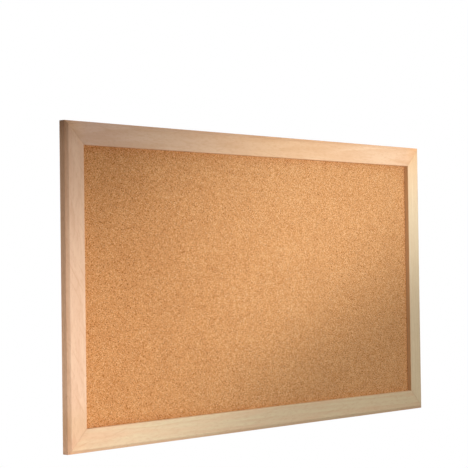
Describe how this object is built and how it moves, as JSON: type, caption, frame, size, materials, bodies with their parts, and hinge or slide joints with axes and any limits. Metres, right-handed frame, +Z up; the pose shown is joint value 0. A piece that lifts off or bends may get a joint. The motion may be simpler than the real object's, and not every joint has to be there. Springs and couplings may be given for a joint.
{
  "type": "pin badge board",
  "caption": "Wall-hung cork board for pin badges: a mitred pale wood frame round a recessed cork field, with swinging D-ring hangers on its back.",
  "frame": {"origin": "centre of the board on the wall plane, which the backs of the rubber bumpers touch", "axes": "+X along the width, to the right as seen from the front; +Y from the front into the wall; +Z up"},
  "size_m": [0.8, 0.018, 0.45],
  "materials": {
    "frame_wood": "satin",
    "cork": "matte",
    "hardboard": "matte",
    "zinc_steel": "satin",
    "rubber": "matte"
  },
  "bodies": {
    "board": {"backing_board": "hardboard", "bottom_rail": "frame_wood", "cork_sheet": "cork", "framers_point_bottom_1": "zinc_steel", "framers_point_bottom_2": "zinc_steel", "framers_point_bottom_3": "zinc_steel", "framers_point_bottom_4": "zinc_steel", "framers_point_left_1": "zinc_steel", "framers_point_left_2": "zinc_steel", "framers_point_right_1": "zinc_steel", "framers_point_right_2": "zinc_steel", "framers_point_top_1": "zinc_steel", "framers_point_top_2": "zinc_steel", "framers_point_top_3": "zinc_steel", "framers_point_top_4": "zinc_steel", "hanger_screw_left": "zinc_steel", "hanger_screw_right": "zinc_steel", "hanger_strap_left": "zinc_steel", "hanger_strap_right": "zinc_steel", "left_stile": "frame_wood", "right_stile": "frame_wood", "top_rail": "frame_wood", "v_nail_bottom_left_inner": "zinc_steel", "v_nail_bottom_left_outer": "zinc_steel", "v_nail_bottom_right_inner": "zinc_steel", "v_nail_bottom_right_outer": "zinc_steel", "v_nail_top_left_inner": "zinc_steel", "v_nail_top_left_outer": "zinc_steel", "v_nail_top_right_inner": "zinc_steel", "v_nail_top_right_outer": "zinc_steel", "wall_bumper_bottom_left": "rubber", "wall_bumper_bottom_right": "rubber", "wall_bumper_top_left": "rubber", "wall_bumper_top_right": "rubber"},
    "ring_left": {"hanger_ring_left": "zinc_steel"},
    "ring_right": {"hanger_ring_right": "zinc_steel"}
  },
  "joints": [
    {"name": "ring_left_swing", "type": "hinge", "parent": "board", "child": "ring_left", "pos_m": [-0.388, -0.0028, 0.15], "axis": [1, 0, 0], "range_deg": [-3.5, 183.5]},
    {"name": "ring_right_swing", "type": "hinge", "parent": "board", "child": "ring_right", "pos_m": [0.388, -0.0028, 0.15], "axis": [1, 0, 0], "range_deg": [-3.5, 183.5]}
  ]
}
